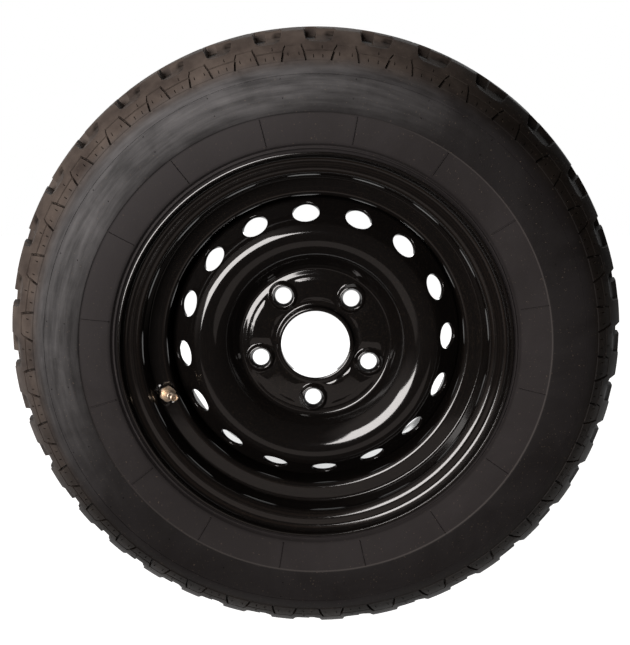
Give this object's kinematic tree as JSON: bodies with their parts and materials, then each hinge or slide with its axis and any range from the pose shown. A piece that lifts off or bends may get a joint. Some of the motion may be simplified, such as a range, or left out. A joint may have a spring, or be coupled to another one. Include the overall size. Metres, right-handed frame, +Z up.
{
  "type": "trailer wheel",
  "caption": "Pressed steel disc wheel with a light-truck tyre, a ring of ventilation holes, a flanged centre bore and a clamp-in valve.",
  "frame": {"origin": "the middle of the rim's width, on the axle line", "axes": "+Y along the axle towards the vehicle, so the outer face looks towards -Y; +Z up and +X to the right as the outer face is seen, with the valve at its lower left"},
  "size_m": [0.5889, 0.185, 0.589],
  "materials": {
    "tyre": "matte",
    "wheel_paint": "gloss",
    "valve_brass": "satin",
    "seal_rubber": "matte",
    "washer_steel": "satin",
    "spring_steel": "satin"
  },
  "bodies": {
    "wheel": {"tyre": "tyre", "rim": "wheel_paint", "disc": "wheel_paint", "disc_welds": "wheel_paint", "valve_stem": "valve_brass", "valve_grommet": "seal_rubber", "valve_washer": "washer_steel", "valve_nut": "valve_brass", "core_plug": "valve_brass", "core_barrel": "valve_brass", "core_seal": "seal_rubber", "core_spring": "spring_steel"},
    "core_pin": {"core_pin": "valve_brass", "core_cup": "valve_brass", "core_cup_seal": "seal_rubber"}
  },
  "joints": [
    {"name": "core_pin_slide", "type": "slide", "parent": "wheel", "child": "core_pin", "axis": [-0.4313, 0.891, -0.1418], "range_m": [0, 0.0012], "stiffness_N_per_m": 800, "springref_m": -0.002, "deforming": ["core_spring"]}
  ]
}
